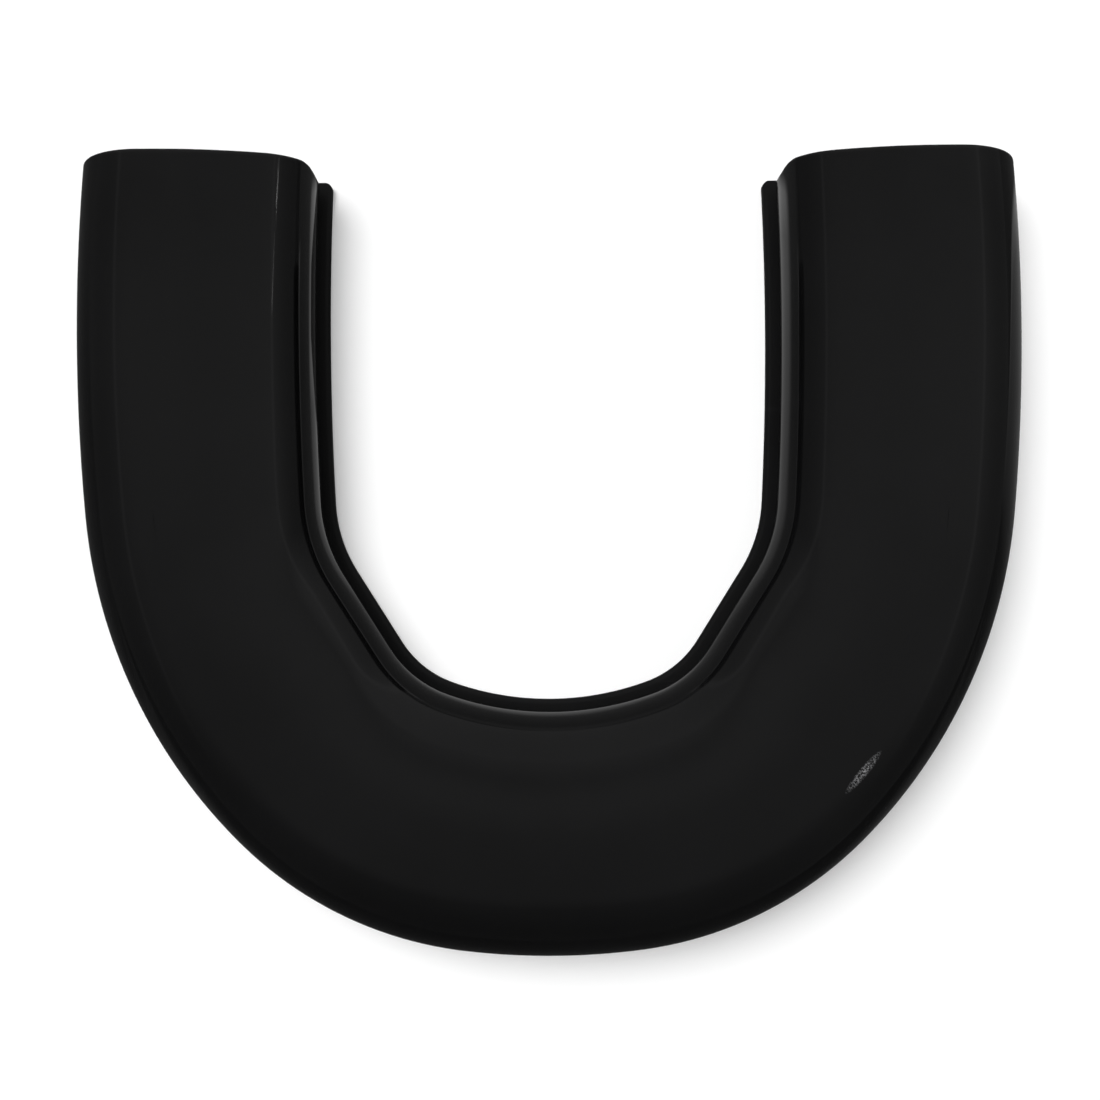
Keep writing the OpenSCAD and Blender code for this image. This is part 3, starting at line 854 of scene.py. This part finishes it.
studio = {
    "floorColor": 0.80, "floorLift": 0.23, "whiteShare": 0.05,
    # brightness of the room from in front of the tambourine, -1, to beyond its arms, 1
    "sky": ((-0.95, 0.015), (-0.45, 0.07), (-0.20, 0.16), (-0.02, 0.18),
            (0.12, 0.24), (0.19, 0.24), (0.28, 0.19), (0.42, 0.30)),
    "leftPanel": 0.0, "rightPanel": 0.06, "panelAt": 0.65, "panelFront": (-0.97, -0.21),
    "edge": 0.09, "edgeAt": 0.645, "edgeWide": (0.01, 0.045), "edgeFront": (-0.45, -0.05),
    "leftFall": 0.75, "leftFrom": (-0.75, -0.15), "sideFall": 0.35, "sideFrom": (0.6, 1.02),
    "low": 0.77, "lowFrom": (-0.5, 0.03), "fill": 0.24,
    "sunTilt": 30, "sunFrom": 140, "sunWide": 33, "sunPower": 2.55,
    "stripWide": 0.003, "stripSpread": 26,
    # each strip's two ends, the point it is aimed at and its level
    "strips": {
        "shortStrip": ((0.2872, 0.21, 0.3562), (0.349, 0.29, 0.292), (-0.0636, 0.1, 0.03), 1.5),
        "faintStrip": ((0.25, 0.16, 0.395), (0.276, 0.195, 0.369), (-0.0636, 0.09, 0.03), 0.11),
    },
}
# painted light and shadow on the floor as the gloss sees it, with the places in metres where they change
mirrored = {
    "front": 0.04, "middle": 0.13, "middleAt": (-0.12, -0.02), "far": 0.09, "farAt": (0.06, 0.18),
    "outside": 0.45, "outsideAt": (0.085, 0.115), "bendAt": (-0.03, -0.08),
    "patch": 0.15, "patchBack": (-0.022, -0.030), "patchFront": (-0.07, -0.05), "patchSides": (0.06, 0.05),
    "shade": 0.65, "shadeTop": (0.085, 0.105), "shadeEdge": (-0.0495, -0.0580), "shadeStep": (0.065, 0.035),
    "shadeIn": -0.012, "shadeLeft": (-0.075, -0.065), "shadeFront": (0.03, 0.04), "shadeSoft": 0.001,
    "left": 0.46, "leftEnd": (-0.047, -0.042), "leftDim": 0.42, "leftDimAt": (0.045, 0.06),
    "right": 0.38, "rightStart": (0.031, 0.043), "rightHalf": (0.046, 0.060),
    "rightDim": 0.45, "rightDimAt": (0.02, 0.09), "rightTop": 0.7, "rightTopAt": (0.092, 0.102),
    "stripFront": (-0.01, 0.02), "stripBack": (0.110, 0.105),
}


def splitAxes(tree, vector):
    node = tree.nodes.new("ShaderNodeSeparateXYZ")
    tree.links.new(vector, node.inputs[0])
    return node.outputs


def rayShare(tree):
    # 1 for camera and transmission rays, a share for glossy rays, 0 for the light on the object
    path = tree.nodes.new("ShaderNodeLightPath")
    seen = mathNode(tree, "ADD", path.outputs["Is Camera Ray"], path.outputs["Is Transmission Ray"], True)
    inGloss = times(tree, path.outputs["Is Glossy Ray"], studio["whiteShare"])
    return path, mathNode(tree, "MAXIMUM", seen, inGloss)


def mixShaders(tree, factor, first, second, end):
    mix = tree.nodes.new("ShaderNodeMixShader")
    for socket, value in zip(mix.inputs, (factor, first, second)):
        tree.links.new(value, socket)
    tree.links.new(mix.outputs[0], end.inputs["Surface"])


def floorInGloss(tree):
    # a dim floor as the gloss sees it, with a painted pool of light along each arm and the left arm's painted
    # shadow beside it
    x, y, z = splitAxes(tree, objectVector(tree))
    aside = mathNode(tree, "ABSOLUTE", x)
    level = rangeNode(tree, y, *mirrored["middleAt"], mirrored["front"], mirrored["middle"])
    level = plus(tree, level, rangeNode(tree, y, *mirrored["farAt"], 0, mirrored["far"]))
    outside = rangeNode(tree, aside, *mirrored["outsideAt"], 1, mirrored["outside"])
    outside = mathNode(tree, "MAXIMUM", outside, rangeNode(tree, y, *mirrored["bendAt"]))
    level = times(tree, level, outside)
    # a painted pool of light in the throat shows in the lip round the bend
    patch = times(tree, rangeNode(tree, y, *mirrored["patchBack"], 0, mirrored["patch"]),
                  rangeNode(tree, aside, *mirrored["patchSides"]))
    level = plus(tree, level, times(tree, patch, rangeNode(tree, y, *mirrored["patchFront"])))
    shadeEdge = plus(tree, rangeNode(tree, y, *mirrored["shadeTop"], *mirrored["shadeEdge"]),
                     rangeNode(tree, y, *mirrored["shadeStep"], 0, mirrored["shadeIn"]))
    beyond = mathNode(tree, "SUBTRACT", x, shadeEdge)
    soft = mirrored["shadeSoft"]
    shade = times(tree, rangeNode(tree, beyond, 0, -soft, 0, mirrored["shade"]),
                  rangeNode(tree, x, *mirrored["shadeLeft"]))
    shade = times(tree, shade, rangeNode(tree, y, *mirrored["shadeFront"]))
    level = times(tree, level, mathNode(tree, "SUBTRACT", 1, shade))
    left = times(tree, rangeNode(tree, beyond, -soft, soft),
                 rangeNode(tree, x, *mirrored["leftEnd"], mirrored["left"], 0))
    left = times(tree, left, rangeNode(tree, y, *mirrored["leftDimAt"], mirrored["leftDim"], 1))
    right = times(tree, rangeNode(tree, x, *mirrored["rightStart"]),
                  rangeNode(tree, x, *mirrored["rightHalf"], mirrored["right"], 0.5 * mirrored["right"]))
    along = plus(tree, rangeNode(tree, y, *mirrored["rightDimAt"], mirrored["rightDim"], 1),
                 rangeNode(tree, y, *mirrored["rightTopAt"], 0, mirrored["rightTop"]))
    right = times(tree, right, along)
    strips = times(tree, plus(tree, left, right), rangeNode(tree, y, *mirrored["stripFront"]))
    return plus(tree, level, times(tree, strips, rangeNode(tree, y, *mirrored["stripBack"])))


def floorPiece():
    bm = bmesh.new()
    bmesh.ops.create_circle(bm, cap_ends=True, segments=96, radius=6.0)
    piece = objectFrom(bm, "floor")
    material = bpy.data.materials.new("paleFloor")
    material.use_nodes = True
    tree = material.node_tree
    tree.nodes.remove(tree.nodes["Principled BSDF"])
    lit = tree.nodes.new("ShaderNodeBsdfDiffuse")
    lit.inputs["Color"].default_value = (studio["floorColor"],) * 3 + (1,)
    glow = tree.nodes.new("ShaderNodeEmission")
    path, share = rayShare(tree)
    tree.links.new(times(tree, share, studio["floorLift"]), glow.inputs["Strength"])
    both = tree.nodes.new("ShaderNodeAddShader")
    tree.links.new(lit.outputs[0], both.inputs[0])
    tree.links.new(glow.outputs[0], both.inputs[1])
    inGloss = tree.nodes.new("ShaderNodeEmission")
    tree.links.new(floorInGloss(tree), inGloss.inputs["Strength"])
    mixShaders(tree, path.outputs["Is Glossy Ray"], both.outputs[0], inGloss.outputs[0],
               tree.nodes["Material Output"])
    piece.data.materials.append(material)


def worldLight():
    world = bpy.data.worlds.new("studioRoom")
    bpy.context.scene.world = world
    world.use_nodes = True
    tree = world.node_tree
    room = tree.nodes["Background"]
    room.inputs["Color"].default_value = (1, 1, 1, 1)
    path, share = rayShare(tree)
    x, y, z = splitAxes(tree, tree.nodes.new("ShaderNodeTexCoord").outputs["Generated"])
    aside = mathNode(tree, "ABSOLUTE", x)
    # dark in front, brighter overhead and beyond the arms, with a soft panel at each side
    ramp = tree.nodes.new("ShaderNodeValToRGB")
    tree.links.new(rangeNode(tree, y, -1, 1), ramp.inputs[0])
    stops = ramp.color_ramp.elements
    for at, grey in studio["sky"][1:-1]:
        stops.new((at + 1) / 2).color = (grey, grey, grey, 1)
    for stop, (at, grey) in ((stops[0], studio["sky"][0]), (stops[-1], studio["sky"][-1])):
        stop.position, stop.color = (at + 1) / 2, (grey, grey, grey, 1)
    toPanel = mathNode(tree, "ABSOLUTE", mathNode(tree, "SUBTRACT", aside, studio["panelAt"]))
    panel = times(tree, rangeNode(tree, toPanel, 0, studio["panelAt"], 1, 0),
                  rangeNode(tree, x, -0.2, 0.2, studio["leftPanel"], studio["rightPanel"]))
    panel = times(tree, panel, rangeNode(tree, y, *studio["panelFront"]))
    level = plus(tree, ramp.outputs[0], panel)
    level = times(tree, level, rangeNode(tree, x, *studio["leftFrom"], studio["leftFall"], 1))
    level = times(tree, level, rangeNode(tree, aside, *studio["sideFrom"], 1, studio["sideFall"]))
    level = times(tree, level, rangeNode(tree, z, *studio["lowFrom"], studio["low"], 1))
    # the bright edge of each panel draws a thin line along the rolls
    toEdge = mathNode(tree, "ABSOLUTE", mathNode(tree, "SUBTRACT", aside, studio["edgeAt"]))
    edge = times(tree, rangeNode(tree, toEdge, *studio["edgeWide"], studio["edge"], 0),
                 rangeNode(tree, y, *studio["edgeFront"]))
    fill = times(tree, path.outputs["Is Diffuse Ray"], studio["fill"])
    tree.links.new(plus(tree, plus(tree, level, edge), fill), room.inputs["Strength"])
    white = tree.nodes.new("ShaderNodeBackground")
    white.inputs["Color"].default_value = (1, 1, 1, 1)
    white.inputs["Strength"].default_value = 1.0
    mixShaders(tree, share, room.outputs[0], white.outputs[0], tree.nodes["World Output"])


def sunLight():
    light = bpy.data.lights.new("keyLight", "SUN")
    light.energy = studio["sunPower"]
    light.angle = radians(studio["sunWide"])
    lamp = bpy.data.objects.new("keyLight", light)
    bpy.context.scene.collection.objects.link(lamp)
    tilt, turn = radians(studio["sunTilt"]), radians(studio["sunFrom"])
    toward = Vector((sin(tilt) * cos(turn), sin(tilt) * sin(turn), cos(tilt)))
    lamp.rotation_euler = toward.to_track_quat("Z", "Y").to_euler()
    lamp.location = toward * 2
    lamp.visible_glossy = False


def stripLight(name, low, high, aim, level):
    # a narrow panel between two points, seen as a thin line in the gloss near the point it is aimed at
    low, high = Vector(low), Vector(high)
    light = bpy.data.lights.new(name, "AREA")
    light.shape = "RECTANGLE"
    light.size, light.size_y = studio["stripWide"], (high - low).length
    light.energy = level * pi * light.size * light.size_y
    light.spread = radians(studio["stripSpread"])
    lamp = bpy.data.objects.new(name, light)
    bpy.context.scene.collection.objects.link(lamp)
    middle = (low + high) / 2
    along = (high - low).normalized()
    back = middle - Vector(aim)
    back = (back - along * back.dot(along)).normalized()
    turned = Matrix((along.cross(back), along, back)).transposed().to_4x4()
    lamp.matrix_world = Matrix.Translation(middle) @ turned
    lamp.visible_camera = False


camera = {"lens": 44.0, "place": (-0.0062, -0.0052, 0.380), "turn": -0.3, "shift": (0.0207, 0.0271)}


def cameraPiece():
    data = bpy.data.cameras.new("camera")
    data.lens, data.sensor_width = camera["lens"], 36
    data.shift_x, data.shift_y = camera["shift"]
    data.clip_start = 0.01
    eye = bpy.data.objects.new("camera", data)
    bpy.context.scene.collection.objects.link(eye)
    eye.location = camera["place"]
    eye.rotation_euler = (0, 0, radians(camera["turn"]))
    bpy.context.scene.camera = eye


floorPiece()
worldLight()
sunLight()
for name, place in studio["strips"].items():
    stripLight(name, *place)
cameraPiece()
bpy.context.scene.view_settings.view_transform = "Standard"
print("studio set")
